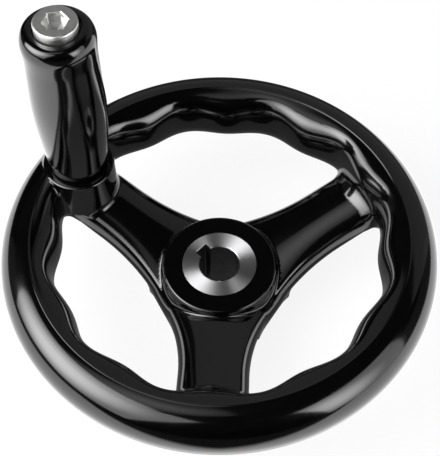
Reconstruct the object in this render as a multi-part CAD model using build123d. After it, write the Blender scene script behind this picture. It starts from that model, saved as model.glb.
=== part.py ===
from build123d import *
import os
from math import cos, radians, sin, sqrt, tan

# Three-spoke machine handwheel, 125 mm, with finger grips inside the rim and a revolving handle.
# Frame: Z is the wheel's axis, Z = 0 is the back face of the hub, and X points along the handle's spoke.
# All lengths are in millimetres and all angles in degrees.

# ---------------------------------------------------------------- driving dimensions
# Rim
wheel_diameter = 125.0
rim_height = 17.8  # also the diameter of the round outer half of its section
rim_offset = 8.3  # from the hub's front face up to the middle of the rim
grip_depth = 6.6  # mean reach of the inner half of the section, inwards from the crown
grip_wave = 1.15  # how far the finger grips swell and sink about that reach
grip_waves = 12  # finger grips in a full turn, a multiple of the spokes
grip_nose_drop = 2.6  # the innermost line of the rim lies this far below its middle
grip_land_angle = 17.5  # degrees, fall of the land that runs inwards from the crown line
grip_land_pull = 0.33  # how far the land keeps to that angle, as a share of the reach
grip_wall_pull = 0.92  # how far the inner wall stays upright, as a share of its height
grip_sections = 8  # sections of the loft in each finger grip

# Spokes
spoke_count = 3
spoke_width = 20.0  # at the waist
spoke_waist_radius = 36.0  # where a spoke is narrowest
spoke_height = 5.4  # of the crowned top, over the middle of the spoke
spoke_depth = 4.4  # of the nearly flat underside, below the middle
spoke_top_crown = 2.95  # rise of the top from its edges to its middle line
spoke_top_edge_radius = 2.6
spoke_under_crown = 0.5
spoke_under_edge_radius = 3.0
spoke_step = 1.8  # from the hub's front face down to the spoke's middle line where it leaves the hub
spoke_drop = 3.5  # from the middle of the rim down to the middle of the spoke, under the crown
spoke_hub_flare = 56.0  # radius of the long curve that widens a spoke to the hub
spoke_sections = 12  # sections of the loft along a spoke
rim_blend = 3.5  # radius of the blend between spoke and rim

# Hub
hub_length = 20.0
hub_diameter = 33.6  # at the front
hub_draft = 1.2  # degrees, wider towards the back
hub_edge_radius = 0.8

# Steel bush moulded into the hub
bore_diameter = 12.0
bore_chamfer = 0.5
bush_diameter = 22.0
bush_belt_diameter = 25.0  # retaining belt inside the moulding
bush_belt_length = 8.0
keyway_width = 4.0
keyway_depth = 1.8
keyway_angle = -11.5  # from the handle's spoke

# Boss that carries the handle
handle_inset = 5.4  # from the crown circle of the rim in to the handle's axis
handle_angle = 1.7  # round from the middle of the spoke to the handle's axis
boss_diameter = 21.0
boss_rise = 0.1  # of its face over the crown of the rim
boss_edge_radius = 0.6
boss_root = 17.4  # length of the boss, down into the spoke
boss_root_taper = 2.5  # how much narrower its radius is at the root, inside the spoke

# Threaded bush moulded into the boss
thread_diameter = 8.0
thread_length = 10.0
insert_diameter = 11.0
insert_length = 12.0
insert_belt_diameter = 13.0
insert_belt_length = 4.0

# Spindle of the handle
axle_diameter = 9.6
head_diameter = 11.8
head_height = 5.0
head_chamfer = 0.4
socket_width = 6.0  # across flats
socket_sides = 6
socket_depth = 3.2
socket_angle = 41.0  # degrees, where the screw stopped turning when it was tightened

# Revolving grip
handle_length = 54.5
handle_base_diameter = 16.8
handle_base_radius = 1.2
handle_base_flare = 7.0  # degrees, half angle at which it widens from the base
handle_belly_diameter = 20.9
handle_belly_height = 27.0
handle_neck_diameter = 19.9
handle_neck_height = 45.0
handle_top_diameter = 20.2
handle_top_radius = 2.2  # how far the rounded end draws in
handle_top_rounding = 4.1  # height of the rounded end
counterbore_diameter = 12.6
counterbore_depth = 2.6
running_clearance = 0.05  # radial, grip on axle
end_play = 0.3  # grip to boss, and grip to screw head

# ---------------------------------------------------------------- places worked out from them
rim_round = rim_height / 2
crown_radius = wheel_diameter / 2 - rim_round
rim_middle = hub_length + rim_offset
rim_top = rim_middle + rim_round
rim_bottom = rim_middle - rim_round
rim_nose = rim_middle - grip_nose_drop

hub_radius = hub_diameter / 2
spoke_root_middle = hub_length - spoke_step - spoke_height
spoke_slope = (rim_middle - spoke_drop - spoke_root_middle) / (crown_radius - hub_radius)

handle_radius = crown_radius - handle_inset
handle_place = Rot(0, 0, handle_angle) * Pos(handle_radius, 0, 0)
boss_face = rim_top + boss_rise
grip_base = boss_face + end_play
grip_end = grip_base + handle_length
head_seat = grip_end - counterbore_depth + end_play
head_top = head_seat + head_height

sector = 360 / spoke_count
wide = wheel_diameter  # for cutting tools that must reach past everything


def radial_plane(angle):
    """Plane through the wheel's axis: local x runs outwards and local y is the wheel's Z."""
    a = radians(angle)
    return Plane(origin=(0, 0, 0), x_dir=(cos(a), sin(a), 0), z_dir=(sin(a), -cos(a), 0))


def corner(face, x, y):
    """The corner of a flat outline that lies nearest to (x, y)."""
    return face.vertices().sort_by(lambda v: (v.X - x) ** 2 + (v.Y - y) ** 2)[0]


def turned(face):
    """Solid turned about Z from an outline drawn with x as radius and y as height."""
    return revolve(Plane.XZ * face, Axis.Z)


def belted_bush(diameter, length, belt_diameter, belt_length):
    """Outline of a moulded-in bush: a plain sleeve with a retaining belt round its middle, foot at zero."""
    low = (length - belt_length) / 2
    high = (length + belt_length) / 2
    return make_face(
        Polyline(
            (0, 0),
            (diameter / 2, 0),
            (diameter / 2, low),
            (belt_diameter / 2, low),
            (belt_diameter / 2, high),
            (diameter / 2, high),
            (diameter / 2, length),
            (0, length),
            close=True,
        )
    )


# ---------------------------------------------------------------- wheel moulding
def rim_section(angle):
    """Rim section at an angle: round outside; inside, a land falls from the crown line to a full shoulder
    and an upright wall, which follows the finger grips."""
    reach = grip_depth + grip_wave * cos(radians(grip_waves * angle))
    middle = (crown_radius, rim_middle)
    centre = (crown_radius, rim_nose)
    crown = (crown_radius, rim_top)
    nose = (crown_radius - reach, rim_nose)
    land = grip_land_pull * reach
    fall = radians(grip_land_angle)
    land_end = (crown_radius - land * cos(fall), rim_top - land * sin(fall))
    wall_end = (crown_radius - reach, rim_nose + grip_wall_pull * (rim_top - rim_nose))
    outer = CenterArc(middle, rim_round, -90, 180)
    upper = Bezier(crown, land_end, wall_end, nose)
    lower = EllipticalCenterArc(centre, reach, rim_nose - rim_bottom, 180, arc_size=90)
    return radial_plane(angle) * make_face([outer, upper, lower])


def rim_arc():
    """A little more than one spoke's share of the rim, centred on X."""
    step = 360 / grip_waves / grip_sections
    spare = 2  # sections past each cut, so that neighbouring arcs meet smoothly
    count = round(sector / 2 / step) + spare
    return loft([rim_section(i * step) for i in range(-count, count + 1)])


def spoke_section(s):
    """Bar with a crowned top and rounded edges, square across the spoke at distance s from the axis."""
    inward = max(0.0, spoke_waist_radius - s)
    half = spoke_width / 2 + spoke_hub_flare - sqrt(spoke_hub_flare**2 - inward**2)
    middle = spoke_root_middle + spoke_slope * (s - hub_radius)
    upper = spoke_height - spoke_top_crown
    lower = spoke_under_crown - spoke_depth
    face = make_face(
        [
            ThreePointArc((-half, upper), (0, spoke_height), (half, upper)),
            Line((half, upper), (half, lower)),
            ThreePointArc((half, lower), (0, -spoke_depth), (-half, lower)),
            Line((-half, lower), (-half, upper)),
        ]
    )
    top_edges = [v for v in face.vertices() if v.Y > 0]
    face = fillet(top_edges, spoke_top_edge_radius)
    under_edges = [corner(face, half, lower), corner(face, -half, lower)]
    face = fillet(under_edges, spoke_under_edge_radius)
    return Plane(origin=(s, 0, middle), x_dir=(0, 1, 0), z_dir=(1, 0, 0)) * face


def spoke():
    """Spoke along X, from inside the hub to the middle of the rim."""
    start = hub_radius / 2
    step = (crown_radius - start) / (spoke_sections - 1)
    return loft([spoke_section(start + i * step) for i in range(spoke_sections)])


def rim_junction(body):
    """Edges along which the spoke runs into the rim."""
    near = crown_radius - grip_depth - grip_wave - rim_blend
    across = spoke_width / 2 + rim_blend
    found = []
    for edge in body.edges():
        box = edge.bounding_box()
        if near < box.min.X and box.max.X < crown_radius and -across < box.min.Y and box.max.Y < across:
            found.append(edge)
    return found


def wheel_share():
    """One spoke with its share of the rim, blended together and cut to its sector."""
    half = radians(sector / 2)
    body = rim_arc() + spoke()
    body = fillet(rim_junction(body), rim_blend)
    outline = Polyline(
        (0, 0),
        (wide * cos(half), -wide * sin(half)),
        (2 * wide, 0),
        (wide * cos(half), wide * sin(half)),
        close=True,
    )
    return body & Pos(0, 0, -wide) * extrude(make_face(outline), 2 * wide)


def hub():
    """Drafted hub with a rounded front edge."""
    back = hub_radius + hub_length * tan(radians(hub_draft))
    outline = make_face(Polyline((0, 0), (back, 0), (hub_radius, hub_length), (0, hub_length), close=True))
    return turned(fillet(corner(outline, hub_radius, hub_length), hub_edge_radius))


def boss():
    """Round boss of the handle, from inside the spoke up to a flat face at the rim's crown."""
    radius = boss_diameter / 2
    foot = boss_face - boss_root
    outline = make_face(
        Polyline(
            (0, foot),
            (radius - boss_root_taper, foot),
            (radius, foot + boss_root_taper),
            (radius, boss_face),
            (0, boss_face),
            close=True,
        )
    )
    return handle_place * turned(fillet(corner(outline, radius, boss_face), boss_edge_radius))


def wheel():
    """Rim, spokes, hub and boss as one moulding, with the seats of its two metal bushes."""
    share = wheel_share()
    body = share
    for i in range(1, spoke_count):
        body = body + Rot(0, 0, i * sector) * share
    body = body + hub() + boss()
    body = body - turned(belted_bush(bush_diameter, hub_length, bush_belt_diameter, bush_belt_length))
    seat = turned(belted_bush(insert_diameter, insert_length, insert_belt_diameter, insert_belt_length))
    return body - handle_place * Pos(0, 0, boss_face - insert_length) * seat


# ---------------------------------------------------------------- metal bushes
def hub_bush():
    """Steel bush with a keyed bore, flush with both faces of the hub."""
    body = turned(belted_bush(bush_diameter, hub_length, bush_belt_diameter, bush_belt_length))
    radius = bore_diameter / 2
    body = body - turned(
        make_face(
            Polyline(
                (0, 0),
                (radius + bore_chamfer, 0),
                (radius, bore_chamfer),
                (radius, hub_length - bore_chamfer),
                (radius + bore_chamfer, hub_length),
                (0, hub_length),
                close=True,
            )
        )
    )
    reach = radius + keyway_depth
    keyway = Pos(reach / 2, 0, hub_length / 2) * Box(reach, keyway_width, hub_length)
    return body - Rot(0, 0, keyway_angle) * keyway


def handle_insert():
    """Tapped bush moulded into the boss, flush with the boss's face."""
    body = turned(belted_bush(insert_diameter, insert_length, insert_belt_diameter, insert_belt_length))
    body = body - Cylinder(thread_diameter / 2, 2 * insert_length)
    return handle_place * Pos(0, 0, boss_face - insert_length) * body


# ---------------------------------------------------------------- revolving handle
def handle_spindle():
    """Shouldered screw that the grip turns on, with a hexagon socket in its head."""
    outline = make_face(
        Polyline(
            (0, boss_face - thread_length),
            (thread_diameter / 2, boss_face - thread_length),
            (thread_diameter / 2, boss_face),
            (axle_diameter / 2, boss_face),
            (axle_diameter / 2, head_seat),
            (head_diameter / 2, head_seat),
            (head_diameter / 2, head_top - head_chamfer),
            (head_diameter / 2 - head_chamfer, head_top),
            (0, head_top),
            close=True,
        )
    )
    socket = RegularPolygon(socket_width / 2, socket_sides, major_radius=False, rotation=socket_angle)
    body = turned(outline) - Pos(0, 0, head_top - socket_depth) * extrude(socket, socket_depth)
    return handle_place * body


def handle_grip():
    """Barrel-shaped grip with a plain bore and a counterbore for the screw head."""
    bore = axle_diameter / 2 + running_clearance
    counterbore = counterbore_diameter / 2
    floor = handle_length - counterbore_depth
    base = (handle_base_diameter / 2, 0)
    shoulder = (handle_top_diameter / 2, handle_length - handle_top_rounding)
    flank = Spline(
        base,
        (handle_belly_diameter / 2, handle_belly_height),
        (handle_neck_diameter / 2, handle_neck_height),
        shoulder,
        tangents=[(sin(radians(handle_base_flare)), cos(radians(handle_base_flare))), (0, 1)],
    )
    centre = (shoulder[0] - handle_top_radius, shoulder[1])
    end = EllipticalCenterArc(centre, handle_top_radius, handle_top_rounding, 0, arc_size=90)
    inside = Polyline(
        (centre[0], handle_length),
        (counterbore, handle_length),
        (counterbore, floor),
        (bore, floor),
        (bore, 0),
        base,
    )
    face = make_face([flank, end, inside])
    face = fillet(corner(face, *base), handle_base_radius)
    return handle_place * Pos(0, 0, grip_base) * turned(face)


if __name__ == "__main__":
    os.makedirs("parts", exist_ok=True)
    export_step(wheel(), "parts/wheel.step")
    export_step(hub_bush(), "parts/hub_bush.step")
    export_step(handle_insert(), "parts/handle_insert.step")
    export_step(handle_spindle(), "parts/handle_spindle.step")
    export_step(handle_grip(), "parts/handle_grip.step")
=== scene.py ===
# %% [markdown]
# A machine handwheel: a hard black plastic wheel on a steel bush, with a revolving handle.
# The solid model comes in model.glb. This lesson dresses it: smooth surfaces,
# real finishes, a white table, soft boxes and a camera.
# Everything is in the imported model's own frame. Sizes are written in millimetres and
# turned to metres where a mesh or a lamp is made.

# %% Load the imported model
import bpy
import numpy as np
from math import cos, hypot, pi, radians, sin, sqrt, tan
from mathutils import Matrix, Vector


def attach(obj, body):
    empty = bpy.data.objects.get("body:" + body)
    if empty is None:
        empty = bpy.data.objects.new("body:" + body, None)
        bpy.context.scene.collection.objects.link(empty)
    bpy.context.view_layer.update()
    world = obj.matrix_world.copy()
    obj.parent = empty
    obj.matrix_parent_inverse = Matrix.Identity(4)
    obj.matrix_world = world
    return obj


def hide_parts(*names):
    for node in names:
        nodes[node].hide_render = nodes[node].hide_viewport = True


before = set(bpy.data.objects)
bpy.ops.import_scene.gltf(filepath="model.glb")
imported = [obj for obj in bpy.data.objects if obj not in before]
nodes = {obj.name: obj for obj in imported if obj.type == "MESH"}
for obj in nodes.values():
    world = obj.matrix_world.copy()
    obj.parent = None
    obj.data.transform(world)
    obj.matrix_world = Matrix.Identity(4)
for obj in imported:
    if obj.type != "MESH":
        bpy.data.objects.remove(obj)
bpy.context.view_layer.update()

# %% [markdown]
# ## The rim
# The real wheel is one moulding: the rim with its finger grips, three spokes, a hub and the
# handle's boss, all flowing into each other. Flowing joins are hard to draw face by face, so
# each shape is written as a distance: how far is a point from its surface. The surface is
# where the distance is zero.
# The rim's section is round outside. Inside it has a sloping land, a full shoulder and an
# upright wall, and twelve waves in the wall give the fingers a hold. The sizes are those of
# the solid model, with heights measured from the back face of the hub.

# %% Distance to the rim
crown_radius = 53.6  # radius of the circle along the top of the rim
rim_round = 8.9  # radius of the outer half of the rim's section
rim_middle = 28.3
rim_top = rim_middle + rim_round
rim_bottom = rim_middle - rim_round
rim_nose = 25.7  # height of the innermost line of the rim
grip_depth = 6.6
grip_wave = 1.15
grip_waves = 12
land_fall = 0.36  # slope of the land that runs inwards from the crown line
shoulder_power = 3.0  # how full the shoulder is between the land and the inner wall
trusted = 0.6  # the section's equation serves as a distance up to this value
fade = 1.9
deep_inside = -3.0


def rim_distance(x, y, z):
    """Round outside. Inside, a land falls from the crown line to a full shoulder and an upright
    wall. The section's equation is divided by its slope, which makes it a distance."""
    out = np.sqrt(x * x + y * y) - crown_radius
    round_half = np.sqrt(out * out + (z - rim_middle) ** 2) - rim_round
    wide = grip_depth + grip_wave * np.cos(grip_waves * np.arctan2(y, x))
    share = np.abs(out / wide)
    up = z - rim_nose
    over = up > 0
    tall = np.where(over, rim_top - rim_nose, rim_nose - rim_bottom)
    near = np.clip(share, 0, 3)
    lift = np.where(over, land_fall * wide * near * (1 - near), 0.0)
    high = (up + lift) / tall
    power = np.where(over, shoulder_power, 2.0)
    value = share ** power + high ** 2 - 1
    across = (power * share ** (power - 1) + 2 * high * np.where(over, land_fall * wide * (1 - 2 * near), 0)
              / tall) / wide
    inner = value / (np.sqrt(across ** 2 + (2 * high / tall) ** 2) + 0.001)
    inner = np.where(value < -trusted, deep_inside, inner)
    # Far from the section the equation runs short, so it gives way to the distance to its frame.
    far = np.clip((value - trusted) / fade, 0, 1)
    far = far * far * (3 - 2 * far)
    inner = inner + far * (np.maximum(-out - wide, np.abs(up) - tall) - inner)
    return np.where(out > 0, round_half, inner)


print("rim top at", rim_top, "mm, and there the distance is",
      round(float(rim_distance(crown_radius, 0.0, rim_top)), 3))

# %% [markdown]
# ## The hub
# The hub is a drum round the steel bush. Its side is drafted by about a degree, so that the
# mould opens, and its front edge is rounded.

# %% Distance to the hub
hub_radius = 16.8  # at the front
hub_length = 20.0
hub_draft = tan(radians(1.2))
hub_edge = 0.8
bush_radius = 11.0


def rounded_corner(side, top, radius):
    """Distance to the corner between two faces, with its edge rounded."""
    u = np.maximum(side + radius, 0)
    v = np.maximum(top + radius, 0)
    return np.sqrt(u * u + v * v) + np.minimum(np.maximum(side, top) + radius, 0) - radius


def hub_distance(x, y, z):
    """A drafted drum with a rounded front edge."""
    side = np.sqrt(x * x + y * y) - hub_radius - (hub_length - z) * hub_draft
    return np.maximum(rounded_corner(side, z - hub_length, hub_edge), -z)


print("hub radius", hub_radius, "mm in front,", round(hub_radius + hub_length * hub_draft, 2), "mm behind")

# %% [markdown]
# ## The spokes
# A spoke is crowned on top and almost flat below. It is narrowest a little past its middle,
# widens to the hub and climbs to the rim. It runs on inside the hub and the rim, which hide
# its ends.

# %% Distance to one spoke
spoke_half = 10.0  # half its width at the waist
spoke_waist = 36.0  # from the axis to where it is narrowest
spoke_flare = 56.0  # radius of the curve that widens it to the hub
spoke_height = 5.4  # from its middle line up to its crown
spoke_depth = 4.4
top_crown = 2.95  # rise of its top from the edges to the middle
top_edge = 2.6  # radius of its edges
under_crown = 0.5
under_edge = 3.0
spoke_root = 12.8  # height of its middle line at the hub
spoke_drop = 3.5  # from the middle of the rim down to that line
spoke_slope = (rim_middle - spoke_drop - spoke_root) / (crown_radius - hub_radius)
spoke_start = 2.0  # from the axis
spoke_stop = crown_radius + 1


def crowned(across, height, half, rise, crown):
    """Distance to a face that is arched across its width."""
    arch = (half ** 2 + crown ** 2) / (2 * crown)
    return np.sqrt(across ** 2 + np.maximum(height + arch - rise, 0) ** 2) - arch


def spoke_distance(along, across, z):
    """A bar with a crowned top and rounded edges, which widens to the hub and climbs to the rim."""
    inward = np.clip(spoke_waist - along, 0, spoke_flare - 1)
    half = spoke_half + spoke_flare - np.sqrt(spoke_flare ** 2 - inward ** 2)
    lean = 1 / sqrt(1 + spoke_slope ** 2)
    height = (z - spoke_root - spoke_slope * (along - hub_radius)) * lean
    side = np.abs(across) - half
    top = crowned(across, height, half, spoke_height * lean, top_crown)
    under = crowned(across, -height, half, spoke_depth * lean, under_crown)
    body = np.maximum(rounded_corner(side, top, top_edge), rounded_corner(side, under, under_edge))
    return np.maximum(body, np.maximum(along - spoke_stop, spoke_start - along))


print("spokes climb", round(spoke_slope * (crown_radius - hub_radius), 2), "mm from the hub to the rim")

# %% [markdown]
# ## The handle's boss
# The handle stands on a round seat that rises from the spoke's end, just over the crown of the
# rim. Its face is flat and its edge is crisp, because the handle's screw is tightened on it.

# %% Distance to the boss
handle_radius = 48.2
handle_angle = radians(1.7)
handle_x = handle_radius * cos(handle_angle)
handle_y = handle_radius * sin(handle_angle)
boss_radius = 10.5
boss_edge = 0.6
boss_foot = 24.0
boss_face = rim_top + 0.1
insert_radius = 5.5


def boss_distance(x, y, z):
    """The round seat of the handle, from inside the spoke up to the rim's crown."""
    side = np.sqrt((x - handle_x) ** 2 + (y - handle_y) ** 2) - boss_radius
    return np.maximum(rounded_corner(side, z - boss_face, boss_edge), boss_foot - z)


print("handle axis at", round(handle_x, 2), round(handle_y, 2), "mm")

# %% [markdown]
# ## Running the parts together
# In the mould every inner corner is rounded, since a sharp one would crack the moulding and
# couldn't be polished. Two distances are joined with a round fillet by a few lines of
# arithmetic. The spokes flow widely into the rim, and the hub and the boss stand in tighter
# corners, so each join has a fillet of its own.

# %% Distance to the whole moulding
spoke_count = 3
rim_fillet = 3.5
arm_fillet = 2.0
hub_fillet = 1.2
boss_fillet = 1.4
least_fillet = 0.25


def joined(a, b, fillet):
    """Distance to two shapes run together, with a fillet of that radius in the corner."""
    u = np.maximum(fillet - a, 0)
    v = np.maximum(fillet - b, 0)
    return np.maximum(fillet, np.minimum(a, b)) - np.sqrt(u * u + v * v)


def wheel_distance(x, y, z):
    """Spokes, rim, hub and boss run together."""
    arms = None
    for turn in range(spoke_count):
        a = 2 * pi * turn / spoke_count
        arm = spoke_distance(x * cos(a) + y * sin(a), y * cos(a) - x * sin(a), z)
        arms = arm if arms is None else joined(arms, arm, arm_fillet)
    body = joined(arms, rim_distance(x, y, z), rim_fillet)
    body = joined(body, hub_distance(x, y, z), hub_fillet)
    # The boss's fillet dies away towards its face, which is nearly level with the rim's crown.
    fillet = np.clip((boss_face - z) * 0.5, least_fillet, boss_fillet)
    return joined(body, boss_distance(x, y, z), fillet)


print("fillets: rim", rim_fillet, "hub", hub_fillet, "boss", boss_fillet, "mm")

# %% [markdown]
# ## From distance to mesh
# A polished black surface shows every dent, so the mesh's points should lie on the surface
# itself. The distance tells how far away a point is, and its slope tells in which direction to
# go. A few such steps bring a point onto the surface. The slope is the shading normal as well,
# and with it reflections run over the wheel without facets.


# %% Finding the surface
def slope_of(field, p, reach=0.01):
    """Which way the distance grows at each point."""
    step = np.eye(3) * reach
    return np.stack([field(*(p + s).T) - field(*(p - s).T) for s in step], -1) / (2 * reach)


def onto_surface(field, p, times=3):
    """Slides points down the distance until it is zero."""
    for _ in range(times):
        g = slope_of(field, p)
        p = p - (field(*p.T) / np.maximum((g * g).sum(1), 0.05))[:, None] * g
    return p


above = onto_surface(rim_distance, np.array([[crown_radius, 0.0, rim_top + 1]]))
print("a point 1 mm over the crown slides to height", round(float(above[0, 2]), 3))

# %% [markdown]
# ## The net
# The points come from a grid of small cubes. Each cube that the surface passes through gets
# one point in its middle. Each edge of the grid that the surface cuts is shared by four cubes,
# and their points make a four-sided face.


# %% The net
def net(field, low, high, step):
    """Points and four-sided faces of the surface where the field is zero."""
    axes = [np.arange(a, b + step, step) for a, b in zip(low, high)]
    inside = field(*np.meshgrid(*axes, indexing="ij")) < 0
    count = sum(
        inside[i:i - 1 or None, j:j - 1 or None, k:k - 1 or None].astype(np.int8)
        for i in (0, 1) for j in (0, 1) for k in (0, 1)
    )
    crossed = (count > 0) & (count < 8)
    number = np.cumsum(crossed.ravel()).reshape(crossed.shape) - 1
    cells = np.argwhere(crossed)
    points = np.array(low) + (cells + 0.5) * step
    faces = []
    for axis in range(3):
        one, two = [a for a in range(3) if a != axis]
        first = np.take(inside, range(inside.shape[axis] - 1), axis)
        second = np.take(inside, range(1, inside.shape[axis]), axis)
        edges = np.argwhere(first != second)
        corners = []
        for du, dv in ((1, 1), (0, 1), (0, 0), (1, 0)):
            cell = edges.copy()
            cell[:, one] -= du
            cell[:, two] -= dv
            corners.append(number[tuple(cell.T)])
        quad = np.stack(corners, 1)
        # Faces look outwards, and on the middle axis their corners run the other way round.
        leaving = first[tuple(edges.T)] if axis != 1 else ~first[tuple(edges.T)]
        quad[~leaving] = quad[~leaving][:, ::-1]
        faces.append(quad)
    return points, np.concatenate(faces)


ball = net(lambda x, y, z: x * x + y * y + z * z - 9, (-4, -4, -4), (4, 4, 4), 1)
print("a ball of radius 3 in cubes of 1 has", len(ball[0]), "points and", len(ball[1]), "faces")

# %% [markdown]
# ## Evening out
# Points from cubes lie in steps, which makes thin faces. Each point is drawn half way to the
# middle of its neighbours and slid back onto the surface, a few times over.


# %% Evening out
def relaxed(field, points, faces, times):
    """Evens out the net without leaving the surface."""
    around = np.roll(faces, 1, axis=1).ravel()
    for _ in range(times):
        total = np.zeros_like(points)
        share = np.zeros(len(points))
        np.add.at(total, faces.ravel(), points[around])
        np.add.at(share, faces.ravel(), 1)
        points = onto_surface(field, 0.5 * points + 0.5 * total / share[:, None], 1)
    return points


bar = np.array([[0.0, 0, 0], [2, 0, 0], [2, 1, 0], [0, 1, 0]])
bar = relaxed(lambda x, y, z: z, bar, np.array([[0, 1, 2, 3]]), 1)
print("a bar of 2 by 1 after one round:", bar.tolist())

# %% [markdown]
# ## The moulding's net
# Cubes of about two thirds of a millimetre are small enough for all the fillets, but for the
# last of the boss's one, where it dies away. The net is evened out three times, which makes
# most of its faces nearly square.

# %% Mesh of the moulding
net_step = 0.68
net_low = (-63.5, -63.5, -1.5)
net_high = (63.5, 63.5, 38.5)
points, faces = net(wheel_distance, net_low, net_high, net_step)
points = relaxed(wheel_distance, onto_surface(wheel_distance, points), faces, 3)
points = onto_surface(wheel_distance, points, 2)
print("net:", len(points), "points,", len(faces), "faces, furthest from the surface",
      round(float(np.abs(wheel_distance(*points.T)).max()), 4), "mm")

# %% [markdown]
# ## Crisp turned rims
# The net's cubes are too coarse for the tight edges round the hub and the boss. There its
# faces are taken away, and turned rings with fine steps take their place. A ring is a profile
# of radius and height, swept round an axis. Each smooth run of a profile is a list of its own,
# so that shading breaks at the corner between two runs.


# %% Profiles and turning
MM = 0.001


def arc(x, z, rx, rz, start, end, steps=8):
    """Points along part of an ellipse, with angles in degrees from the outward direction."""
    angles = np.radians(np.linspace(start, end, steps + 1))
    return [(x + rx * cos(a), z + rz * sin(a)) for a in angles]


def swept(runs, angles, centre=(0.0, 0.0)):
    """Points and faces of profiles swept round an axis. A radius or a height may be a list, with
    one value for each angle."""
    a = np.arange(angles) * 2 * pi / angles if np.isscalar(angles) else angles
    segments = len(a)
    points, faces, start = [], [], 0
    for run in runs:
        for radius, height in run:
            r = np.broadcast_to(radius, segments)
            points.append(np.stack([centre[0] + r * np.cos(a), centre[1] + r * np.sin(a),
                                    np.broadcast_to(height, segments)], 1))
        here = np.arange(segments)
        after = np.roll(here, -1)
        for row in range(len(run) - 1):
            low = start + row * segments
            up = low + segments
            faces.append(np.stack([low + here, low + after, up + after, up + here], 1))
        start += len(run) * segments
    return np.concatenate(points), np.concatenate(faces)


def mesh_piece(name, points, faces, normals=None):
    """A mesh object from points in millimetres, shaded smooth."""
    mesh = bpy.data.meshes.new(name)
    mesh.from_pydata((np.asarray(points) * MM).tolist(), [], np.asarray(faces).tolist())
    mesh.shade_smooth()
    if normals is not None:
        mesh.normals_split_custom_set_from_vertices(np.asarray(normals).tolist())
    made = bpy.data.objects.new(name, mesh)
    bpy.context.scene.collection.objects.link(made)
    return made


print("a quarter turn:", [(round(float(x), 2), round(float(z), 2)) for x, z in arc(0, 0, 1, 1, 0, 90, 2)])

# %% [markdown]
# ## Profiles of the three rings
# The hub's front edge is rounded by 0.8 mm and its back edge by 0.4 mm, and the boss's edge by
# 0.6 mm, as the cutter left them in the mould. The hub's side is drafted, so that it draws out.

# %% Rings of the hub and the boss
ring_low = 4.5  # the hub keeps the net's side between these two heights
ring_high = 18.9
proud = 0.006  # rings stand this far over the net, which hides its last faces
side_high = hub_radius + (hub_length - ring_high) * hub_draft + proud
side_low = hub_radius + (hub_length - ring_low) * hub_draft + proud
back_edge = 0.4
back_radius = hub_radius + hub_length * hub_draft - back_edge + proud
hub_front = [(side_high, ring_high)]
hub_front += arc(hub_radius - hub_edge + proud, hub_length - hub_edge + proud / 2, hub_edge, hub_edge, 0, 90)
hub_front += [(bush_radius, hub_length)]
hub_back = [(bush_radius, 0.0)] + arc(back_radius, back_edge, back_edge, back_edge, -90, 0)
hub_back += [(side_low, ring_low)]
boss_low = boss_face - 1.3
boss_ring = [(boss_radius + proud, boss_low)]
boss_ring += arc(boss_radius - boss_edge + proud, boss_face - boss_edge, boss_edge, boss_edge, 0, 90)
boss_ring += [(insert_radius, boss_face)]
print("ring profiles:", len(hub_front), len(hub_back), len(boss_ring), "points")

# %% [markdown]
# ## The mould seam
# The two halves of the mould meet along the crown of the rim. The seam is polished, but a fine
# bead is left of it, under a tenth of a millimetre high, which catches the light as a thin line
# all the way round. It is drawn as a ring too.

# %% Seam along the crown
bead_half = 0.5
bead_rise = 0.085
seam_outer = 3.6  # the ring's edges, outwards from the crown line
seam_inner = -3.4
crown_turns = np.arange(540) * 2 * pi / 540
crown_reach = grip_depth + grip_wave * np.cos(grip_waves * crown_turns)
crown_run = []
steps_across = [np.linspace(seam_outer, 0.6, 7), np.linspace(bead_half, -bead_half, 15),
                np.linspace(-0.6, seam_inner, 8)]
for out_by in np.concatenate(steps_across):
    share = max(-out_by, 0) / crown_reach
    round_side = rim_middle + sqrt(rim_round ** 2 - max(out_by, 0) ** 2)
    fallen = (rim_top - rim_nose) * (1 - np.sqrt(1 - share ** shoulder_power))
    land_drop = land_fall * crown_reach * share * (1 - share)
    bead = bead_rise * cos(pi / 2 * min(abs(out_by) / bead_half, 1)) ** 2
    crown_run.append((crown_radius + out_by, round_side - fallen - land_drop + bead + proud))
crown_ring = swept([crown_run], crown_turns)


def sheet_normals(points, across):
    """Upward normals of a swept sheet, from the directions of its two families of lines."""
    sheet = points.reshape(-1, across, 3)
    along = np.roll(sheet, -1, axis=1) - np.roll(sheet, 1, axis=1)
    over = np.gradient(sheet, axis=0)
    normal = np.cross(along, over).reshape(-1, 3)
    return normal * np.sign(normal[:, 2:])


print("seam ring:", len(crown_ring[1]), "faces, bead", bead_rise, "mm high")

# %% [markdown]
# ## One skin
# The real wheel is one piece without a joint, so the net and the rings have to look like one
# skin. The net loses its faces under the rings, which stand a few thousandths of a millimetre
# over it, and all of them take their shading from the exact shape, so no edge shows between.

# %% Put the rings in place of the net's coarse edges
touching = 0.04  # a point this near to a shape lies on it
lap = 0.2  # the turned rings reach this far over the net that stays
seam_lap = 0.3
seam_low = rim_middle + 6  # only the crown lies above this
seam_clear = 3.0  # nearer than this to the boss, the net stays under the seam
seam_end = 0.4  # the seam runs this far into the boss
near_hub = np.abs(hub_distance(*points.T)) < touching
near_boss = np.abs(boss_distance(*points.T)) < touching
off_boss = boss_distance(*points.T) > seam_clear
high = points[:, 2]
from_crown = np.hypot(points[:, 0], points[:, 1]) - crown_radius
covered = near_hub & ((high > ring_high + lap) | (high < ring_low - lap))
covered |= near_boss & (high > boss_low + lap)
under_seam = (from_crown > seam_inner + seam_lap) & (from_crown < seam_outer - seam_lap)
covered |= off_boss & under_seam & (high > seam_low)
faces = faces[~covered[faces].all(1)]
normals = slope_of(wheel_distance, points)
outside = boss_distance(*crown_ring[0].T) > -seam_end
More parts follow.
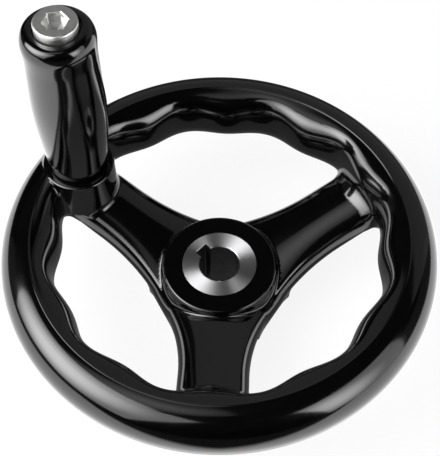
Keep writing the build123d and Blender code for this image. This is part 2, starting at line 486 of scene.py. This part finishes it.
ring_parts = [
    (*swept([hub_front], 160), hub_distance),
    (*swept([hub_back], 160), hub_distance),
    (*swept([boss_ring], 128, (handle_x, handle_y)), boss_distance),
    (crown_ring[0], crown_ring[1][outside[crown_ring[1]].any(1)], None),
]
for ring_points, ring_faces, shape in ring_parts:
    faces = np.concatenate([faces, ring_faces + len(points)])
    points = np.concatenate([points, ring_points])
    turned = slope_of(shape, ring_points) if shape else sheet_normals(ring_points, len(crown_turns))
    normals = np.concatenate([normals, turned])
used = np.unique(faces)
faces = np.searchsorted(used, faces)
normals = normals[used] / np.linalg.norm(normals[used], axis=1, keepdims=True)
wheel = mesh_piece("wheel_moulding", points[used], faces, normals)
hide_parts("wheel")
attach(wheel, "handwheel")
print("wheel:", 2 * len(faces), "triangles")

# %% [markdown]
# ## The revolving grip
# The grip is a turned shape, so it is a profile swept round the handle's axis: a rounded foot,
# a long flank that swells and narrows again under the fingers, a domed end and a counterbore
# for the screw's head. It is moulded like the wheel and polished on a spindle.
# The flank is a smooth curve through four places.

# %% Flank of the grip
end_play = 0.3
grip_low = boss_face + end_play
grip_length = 54.5
grip_bore = 4.9
counterbore = 6.3
counterbore_depth = 2.6
counterbore_floor = grip_length - counterbore_depth
foot_round = 1.2
dome_start = 50.4
dome_across = 2.2
lip_round = 0.1


def flank(count):
    """Radius and height along the flank, as smooth cubic pieces between places."""
    # radius, height and slope of each
    places = [(8.4, 0.0, tan(radians(7))), (10.45, 27.0, 0.0), (9.95, 45.0, -0.008), (10.1, dome_start, 0.02)]
    run = []
    for (r0, h0, s0), (r1, h1, s1) in zip(places, places[1:]):
        for t in np.linspace(0, 1, count, endpoint=False):
            tall = h1 - h0
            run.append((r0 * (1 + 2 * t) * (1 - t) ** 2 + s0 * tall * t * (1 - t) ** 2
                        + r1 * t * t * (3 - 2 * t) + s1 * tall * t * t * (t - 1), h0 + tall * t))
    return run + [(places[-1][0], places[-1][1])]


print("widest radius of the grip:", round(max(r for r, h in flank(16)), 2), "mm")

# %% [markdown]
# ## Turning the grip
# The profile is made of its foot, flank, dome and lip, and ends at the counterbore's floor.
# The floor is a run of its own, because it meets the counterbore in a sharp corner.


# %% Grip
def lifted(run, height):
    """The same profile, higher up."""
    return [(r, h + height) for r, h in run]


side = [(r, h) for r, h in flank(16) if h > foot_round]
foot = arc(side[0][0] - foot_round, foot_round, foot_round, foot_round, -90, 0)
dome = arc(side[-1][0] - dome_across, dome_start, dome_across, grip_length - dome_start, 0, 90, 12)
lip = arc(counterbore + lip_round, grip_length - lip_round, lip_round, lip_round, 90, 180, 4)
grip_runs = [
    [(grip_bore, 0.0)] + foot + side + dome[1:] + [(counterbore + lip_round, grip_length)] + lip[1:]
    + [(counterbore, counterbore_floor)],
    [(counterbore, counterbore_floor), (grip_bore, counterbore_floor)],
]
grip = mesh_piece("revolving_grip",
                  *swept([lifted(run, grip_low) for run in grip_runs], 128, (handle_x, handle_y)))
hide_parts("handle_grip")
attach(grip, "grip")
print("grip from", round(grip_low, 2), "to", round(grip_low + grip_length, 2), "mm")

# %% [markdown]
# ## The handle's screw
# The grip turns on a shouldered steel screw, turned from bar. Only its head shows, with a
# hexagon socket pressed into it. The head is swept like the grip. For the socket the radius
# changes with the angle, so that the same sweep draws a hexagon.

# %% Screw head and axle
thread_radius = 4.0
thread_length = 10.0
axle_radius = 4.8
head_radius = 5.9
head_height = 5.0
head_round = 0.6
head_fall = 0.5  # height of the rounded edge
head_seat = grip_low + counterbore_floor + end_play
head_top = head_seat + head_height
socket_half = 3.0  # half the width across flats
socket_edge = 0.25
socket_depth = 3.2
socket_cone = 0.4  # left by the drill
socket_turn = radians(41.0)  # where the screw stopped when it was tightened
steps_round = np.arange(96) * 2 * pi / 96
turns = steps_round + socket_turn + handle_angle  # a corner of the socket comes first
hexagon = socket_half / np.cos(steps_round % (pi / 3) - pi / 6)
screw_runs = [
    [(thread_radius, boss_face - thread_length), (thread_radius, boss_face)],
    [(thread_radius, boss_face), (axle_radius, boss_face)],
    [(axle_radius, boss_face), (axle_radius, head_seat)],
    [(axle_radius, head_seat), (head_radius, head_seat)],
    [(head_radius, head_seat)]
    + arc(head_radius - head_round, head_top - head_fall, head_round, head_fall, 0, 90),
    [(head_radius - head_round, head_top), (hexagon + socket_edge, head_top)],
    [(hexagon + socket_edge, head_top), (hexagon, head_top - socket_edge)],
    [(hexagon, head_top - socket_edge), (hexagon, head_top - socket_depth)],
    [(hexagon, head_top - socket_depth), (0.02, head_top - socket_depth - socket_cone)],
]
screw = mesh_piece("handle_screw", *swept(screw_runs, turns, (handle_x, handle_y)))
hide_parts("handle_spindle")
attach(screw, "handwheel")
print("screw head top at", round(head_top, 2), "mm")

# %% [markdown]
# ## The hub's bush
# The bush is a steel sleeve moulded into the hub, turned on its face and bored, with a keyway
# cut down one side. It is swept once more. Round the keyway the bore's radius follows the slot's flat
# walls, so the sweep takes its angles at the slot's corners and close together along its walls.

# %% Bush with its keyway
bore_radius = 6.0
key_half = 2.0
key_floor = 7.8  # from the axis to the floor of the keyway
key_turn = radians(-11.5)
slot = np.arctan2(key_half, key_floor)
slot_mouth = np.arcsin(key_half / bore_radius)
slot_side = np.linspace(slot, slot_mouth, 6)
key_angles = np.concatenate([-slot_side[::-1], np.linspace(-slot, slot, 9)[1:-1], slot_side,
                             np.linspace(slot_mouth, 2 * pi - slot_mouth, 108)[1:-1]])
from_key = np.abs((key_angles + pi) % (2 * pi) - pi)
bore = np.where(from_key > slot_mouth, bore_radius,
                np.minimum(key_floor / np.cos(from_key), key_half / np.maximum(np.sin(from_key), 0.01)))
bush_edge = 0.25
bush_face = hub_length + 0.015
bush_side = bush_radius - 0.1
face_middle = 9.5
key_clear = 8.6  # a full circle, just outside the keyway
bush_runs = [
    [(bore + bush_edge, 0.0), (bush_side, 0.0)],
    [(bush_side, 0.0), (bush_side, bush_face - 0.05), (bush_side - 0.05, bush_face)],
    [(bush_side - 0.05, bush_face), (face_middle, bush_face), (key_clear, bush_face),
     (bore + bush_edge, bush_face)],
    [(bore + bush_edge, bush_face), (bore, bush_face - bush_edge)],
    [(bore, bush_face - bush_edge), (bore, bush_edge)],
    [(bore, bush_edge), (bore + bush_edge, 0.0)],
]
bush = mesh_piece("keyed_bush", *swept(bush_runs, key_angles + key_turn))
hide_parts("hub_bush")
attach(bush, "handwheel")
print("bush bore", 2 * bore_radius, "mm, keyway", 2 * key_half, "mm wide")

# %% [markdown]
# ## Colours and materials
# Colours are given as sRGB hex values, as on a paint card, and the renderer wants linear light.
# A material is a little graph of nodes, so one short function adds a node with its settings
# and its links. It can add any kind of node.


# %% Colour and node helpers
def linear(code):
    """An sRGB hex colour such as "#808080" as linear RGBA."""
    parts = [int(code[i:i + 2], 16) / 255 for i in (1, 3, 5)]
    return [c / 12.92 if c <= 0.04045 else ((c + 0.055) / 1.055) ** 2.4 for c in parts] + [1.0]


def node(tree, kind, links=None, **settings):
    """Adds a node. A setting that names an input fills it, any other is set on the node itself.
    links gives, for an input, the socket that feeds it."""
    made = tree.nodes.new("ShaderNode" + kind)
    for key, value in settings.items():
        if hasattr(made, key):
            setattr(made, key, value)
        else:
            made.inputs[key.replace("_", " ")].default_value = value
    for key, source in (links or {}).items():
        tree.links.new(source, made.inputs[key])
    return made


def new_material(name):
    """An empty material, its node tree, and the place on the piece that its patterns start from."""
    made = bpy.data.materials.new(name)
    made.use_nodes = True
    made.node_tree.nodes.clear()
    return made, made.node_tree, node(made.node_tree, "TexCoord").outputs["Object"]


def dress(pieces, material):
    """Gives pieces one material in place of what they had."""
    for piece in pieces:
        piece.data.materials.clear()
        piece.data.materials.append(material)


print("middle grey as linear light:", [round(c, 4) for c in linear("#808080")[:3]])

# %% [markdown]
# ## Black phenolic
# Wheels like this are pressed from phenolic moulding powder and polished. The surface is hard
# and mirror-like, a little uneven over a few millimetres, and nearly black all through.
# Its refractive index is high for a plastic, about 1.6, which gives it a deep gloss.

# %% Polished phenolic
phenolic, tree, place = new_material("polished_phenolic")
haze = node(tree, "TexNoise", {"Vector": place}, Scale=1 / (9 * MM), Detail=3.0, Roughness=0.6)
rough = node(tree, "MapRange", {"Value": haze.outputs["Fac"]}, From_Min=0.35, From_Max=0.7, To_Min=0.09,
             To_Max=0.12)
tint = node(tree, "Mix", {"Factor": haze.outputs["Fac"]}, data_type="RGBA")
tint.inputs[6].default_value = linear("#020202")
tint.inputs[7].default_value = linear("#040405")
wave = node(tree, "TexNoise", {"Vector": place}, Scale=1 / (6 * MM), Detail=1.0)
bump = node(tree, "Bump", {"Height": wave.outputs["Fac"]}, Strength=0.02, Distance=0.3 * MM)
shader = node(tree, "BsdfPrincipled", {"Base Color": tint.outputs[2], "Roughness": rough.outputs["Result"],
                                       "Normal": bump.outputs["Normal"]}, IOR=1.6)
node(tree, "OutputMaterial", {"Surface": shader.outputs["BSDF"]})
dress((wheel, grip, nodes["wheel"], nodes["handle_grip"]), phenolic)
print("phenolic on", wheel.name, "and", grip.name)

# %% [markdown]
# ## Turned steel
# The bush's face was cut on a lathe. The tool leaves rings a few hundredths of a millimetre
# apart, which stretch every highlight across them, so that bright and dark sectors stand
# round the bore. Rings that fine don't show at this size, so they are drawn 0.3 mm apart and
# very shallow, and the shader's anisotropy does the rest.

# %% Turned steel of the bush
steel, tree, place = new_material("turned_steel")
rings = node(tree, "TexWave", {"Vector": place}, wave_type="RINGS", rings_direction="Z",
             Scale=0.31 / (0.3 * MM) / 2, Distortion=0.4, Detail=1.0)
bump = node(tree, "Bump", {"Height": rings.outputs["Fac"]}, Strength=0.06, Distance=0.05 * MM)
blot = node(tree, "TexNoise", {"Vector": place}, Scale=1 / (4 * MM), Detail=4.0)
rough = node(tree, "MapRange", {"Value": blot.outputs["Fac"]}, From_Min=0.3, From_Max=0.7, To_Min=0.46,
             To_Max=0.54)
around = node(tree, "Tangent", direction_type="RADIAL", axis="Z")
shader = node(tree, "BsdfPrincipled", {"Roughness": rough.outputs["Result"], "Normal": bump.outputs["Normal"],
                                       "Tangent": around.outputs["Tangent"]},
              Base_Color=linear("#C6C6C8"), Metallic=1.0, Anisotropic=0.95, Anisotropic_Rotation=0.25)
node(tree, "OutputMaterial", {"Surface": shader.outputs["BSDF"]})
dress((bush, nodes["hub_bush"], nodes["handle_insert"]), steel)
print("turned steel on the bushes")

# %% [markdown]
# ## The bore
# The bore is reamed and the keyway is cut through it with a broach. Neither is polished,
# so the inside of the bush is duller than its face, and its colour is made much darker as
# painted shade in the hole. It is a second material on the faces of the bush that look inwards.

# %% Bored and slotted steel, duller, with its colour darkened as painted shade
shaded_bore_steel, tree, place = new_material("bore_steel_painted_shade")
bore_tone_noise = node(tree, "TexNoise", {"Vector": place}, Scale=1 / (3 * MM), Detail=3.0)
# Painted shade: the inside of the hole is given a dark steel colour, because it lies in shade.
tint = node(tree, "Mix", {"Factor": bore_tone_noise.outputs["Fac"]}, data_type="RGBA")
tint.inputs[6].default_value = linear("#38383A")
tint.inputs[7].default_value = linear("#5C5C5E")
shader = node(tree, "BsdfPrincipled", {"Base Color": tint.outputs[2]}, Metallic=1.0, Roughness=0.42)
node(tree, "OutputMaterial", {"Surface": shader.outputs["BSDF"]})
bush.data.materials.append(shaded_bore_steel)
# The inward-looking faces of the bore and keyway get the painted-shade material.
inside_radius = 8.2 * MM
for face in bush.data.polygons:
    inner = hypot(face.center.x, face.center.y) < inside_radius
    face.material_index = int(inner and abs(face.normal.z) < 0.5)
print("painted-shade bore on", sum(f.material_index for f in bush.data.polygons), "faces of the bush")

# %% [markdown]
# ## Zinc-plated steel
# The screw is plated bright. Zinc leaves a pale, slightly milky metal with a faint mottle.

# %% Bright zinc plate
zinc, tree, place = new_material("bright_zinc_plate")
mottle = node(tree, "TexNoise", {"Vector": place}, Scale=1 / (1.5 * MM), Detail=5.0, Roughness=0.65)
rough = node(tree, "MapRange", {"Value": mottle.outputs["Fac"]}, From_Min=0.3, From_Max=0.7, To_Min=0.31,
             To_Max=0.4)
shader = node(tree, "BsdfPrincipled", {"Roughness": rough.outputs["Result"]}, Base_Color=linear("#E0E0DE"),
              Metallic=1.0)
node(tree, "OutputMaterial", {"Surface": shader.outputs["BSDF"]})
dress((screw, nodes["handle_spindle"]), zinc)
print("zinc plate on the screw")

# %% [markdown]
# ## The camera
# It looks down along the second spoke from about 31 cm away, with a lens of 88 mm. From there
# the near side of the rim looks a quarter larger than the far side. Everything in the studio
# is placed from where the camera stands, so it comes first.

# %% Camera
picture_side = 456  # pixels
focal_length = 1113.8  # pixels
view_turn = radians(122.6)  # the camera's direction from the wheel's axis, round from the handle's spoke
view_rise = radians(55.85)
view_distance = 312.4
aim_side = 0.18
aim_height = 38.64
aim = Vector((-sin(view_turn) * aim_side, cos(view_turn) * aim_side, aim_height))
out = Vector((cos(view_turn) * cos(view_rise), sin(view_turn) * cos(view_rise), sin(view_rise)))
camera_data = bpy.data.cameras.new("camera")
camera_data.sensor_width = 36.0
camera_data.lens = focal_length * camera_data.sensor_width / picture_side
camera_data.clip_start = 0.01
camera = bpy.data.objects.new("camera", camera_data)
camera.location = (aim + out * view_distance) * MM
camera.rotation_euler = (-out).to_track_quat("-Z", "Y").to_euler()
bpy.context.scene.collection.objects.link(camera)
bpy.context.scene.camera = camera
print("camera at", [round(v, 4) for v in camera.location])

# %% [markdown]
# ## The table
# The wheel stands on a sheet of white paper that curves up far away, so that the camera meets
# white in every direction. Most of the white is the paper's own colour given off as light, and
# the rest comes from the lamps, which keeps the wheel's shadow.

# %% Paper sweep
paper_level = -0.2
flat_radius = 2600.0
cove_radius = 900
cove = [(0.01, paper_level), (flat_radius, paper_level)]
cove += [(flat_radius + cove_radius * sin(a), cove_radius - cove_radius * cos(a) + paper_level)
         for a in np.linspace(0.1, pi / 2, 12)]
cove += [(flat_radius + cove_radius, 1800.0)]
table = mesh_piece("paper_sweep", *swept([cove], 96))
print("paper sweep, radius", flat_radius + cove_radius, "mm")

# %% [markdown]
# ## White paper
# The real paper is thick and matt, and plain white to the camera. A black mirror-like thing
# would look grey if it saw white all round, so a studio sets black cards out of the picture.
# Here the paper's glow does that as painted light: in reflections it is painted twice as bright
# as white beside the wheel and close to it, painted dark in front of it and behind it, where
# cards would stand, and painted dark under it as the wheel's shadow.

# %% White paper
paper, tree, place = new_material("white_paper")
turned = node(tree, "VectorRotate", {"Vector": place}, rotation_type="Z_AXIS", Angle=-view_turn)
axes = node(tree, "SeparateXYZ", {"Vector": turned.outputs[0]})
deep = node(tree, "Math", {0: axes.outputs["X"]}, operation="ABSOLUTE")
wide = node(tree, "Math", {0: axes.outputs["Y"]}, operation="ABSOLUTE")
ahead = node(tree, "Math", {0: wide.outputs[0], 2: deep.outputs[0]}, operation="MULTIPLY_ADD")
ahead.inputs[1].default_value = -0.6  # the dark part widens away from the wheel
away = node(tree, "VectorMath", {0: place}, operation="LENGTH")
# Painted light and shade for reflections: twice white beside the wheel, dark in front and behind.
painted_glow_beside = node(tree, "MapRange", {"Value": ahead.outputs[0]}, interpolation_type="SMOOTHSTEP",
              From_Min=75 * MM, From_Max=105 * MM, To_Min=2.0, To_Max=0.06)
# Painted shadow: under the wheel the glow seen in reflections is painted dark.
under = node(tree, "MapRange", {"Value": away.outputs["Value"]}, interpolation_type="SMOOTHSTEP",
             From_Min=54 * MM, From_Max=66 * MM, To_Min=0.1, To_Max=1.0)
far = node(tree, "MapRange", {"Value": away.outputs["Value"]}, interpolation_type="SMOOTHSTEP",
           From_Min=500 * MM, From_Max=1600 * MM, To_Min=1.0, To_Max=0.04)
near = node(tree, "Math", {0: painted_glow_beside.outputs[0], 1: under.outputs[0]}, operation="MULTIPLY")
# The painted reflection glow, which fades far away; only reflections see it.
painted_reflection_glow = node(tree, "Math", {0: near.outputs[0], 1: far.outputs[0]}, operation="MULTIPLY")
rays = node(tree, "LightPath")
reflected = node(tree, "Math", {0: rays.outputs["Is Glossy Ray"], 1: rays.outputs["Is Transmission Ray"]},
                 operation="MAXIMUM")
strength = node(tree, "Mix", {"Factor": reflected.outputs[0], 3: painted_reflection_glow.outputs[0]}, data_type="FLOAT")
strength.inputs[2].default_value = 1.0
seen = node(tree, "Math", {0: rays.outputs["Is Camera Ray"]}, operation="MULTIPLY")
seen.inputs[1].default_value = 0.88
share = node(tree, "Math", {0: seen.outputs[0], 1: reflected.outputs[0]}, operation="MAXIMUM")
lit = node(tree, "BsdfDiffuse", Color=linear("#F2F2F2"))
glow = node(tree, "Emission", {"Strength": strength.outputs[0]}, Color=linear("#FFFFFF"))
mixed = node(tree, "MixShader", {0: share.outputs[0], 1: lit.outputs[0], 2: glow.outputs[0]})
node(tree, "OutputMaterial", {"Surface": mixed.outputs[0]})
table.data.materials.append(paper)
print("paper is white to the camera and shaped for reflections")

# %% [markdown]
# ## Lamps
# A glossy black thing shows little but its lamps. Two large soft boxes stand left and right,
# a small one hangs overhead, and a dim card stands behind. The rest of the studio is dark.
# A soft box is brighter in its middle than at its edges, so its light is a small graph too.


# %% Soft boxes
lamp_centre = Vector((0, 0, 30 * MM))


def soft_box(name, round_from_camera, rise, distance, wide, tall, brightness, edge, core=0.5):
    """A rectangular lamp facing the wheel. Angles run from the camera's side, to the right. It is
    brightest at its core, which lies at that share of its width, and falls to the share edge."""
    a = view_turn + radians(round_from_camera)
    e = radians(rise)
    out = Vector((cos(a) * cos(e), sin(a) * cos(e), sin(e)))
    data = bpy.data.lights.new(name, "AREA")
    data.shape = "RECTANGLE"
    data.size = wide
    data.size_y = tall
    data.energy = brightness * pi * wide * tall
    data.use_nodes = True
    tree = data.node_tree
    tree.nodes.clear()
    across = node(tree, "NewGeometry").outputs["Parametric"]
    middle = node(tree, "VectorMath", {0: across}, operation="SUBTRACT")
    middle.inputs[1].default_value = (core, 0.5, 0.0)
    away = node(tree, "VectorMath", {0: middle.outputs[0]}, operation="LENGTH")
    fade = node(tree, "MapRange", {"Value": away.outputs["Value"]}, interpolation_type="SMOOTHSTEP",
                From_Min=0.05, From_Max=0.6, To_Min=1.0, To_Max=edge)
    emission = node(tree, "Emission", {"Strength": fade.outputs[0]})
    node(tree, "OutputLight", {"Surface": emission.outputs[0]})
    lamp = bpy.data.objects.new(name, data)
    lamp.location = out * distance + lamp_centre
    lamp.rotation_euler = out.to_track_quat("Z", "Y").to_euler()
    bpy.context.scene.collection.objects.link(lamp)
    return lamp


# angle and rise in degrees; distance, width and height in metres; brightness; edge
soft_box("soft_box_left", -67, 38, 0.8, 1.08, 0.90, 10.5, 0.2, core=0.38)
soft_box("soft_box_right", 62, 24, 0.8, 0.60, 0.74, 6.4, 0.25, core=0.2)
soft_box("soft_box_top", -80, 77, 1.0, 0.55, 0.5, 1.1, 0.3)
soft_box("card_behind", 159, 26, 0.9, 1.6, 0.92, 0.25, 0.9)

# %% [markdown]
# ## The room
# The studio's walls are far away and nearly black. They only keep the darkest reflections from
# going quite black. Colours go to the picture as they are, without a film look.

# %% Dark studio
world = bpy.data.worlds.new("studio")
bpy.context.scene.world = world
world.use_nodes = True
tree = world.node_tree
tree.nodes.clear()
background = node(tree, "Background", Color=linear("#202020"), Strength=1.0)
node(tree, "OutputWorld", {"Surface": background.outputs[0]})
bpy.context.scene.view_settings.view_transform = "Standard"
print("studio light:", [round(c, 4) for c in linear("#202020")[:3]], "view:",
      bpy.context.scene.view_settings.view_transform)
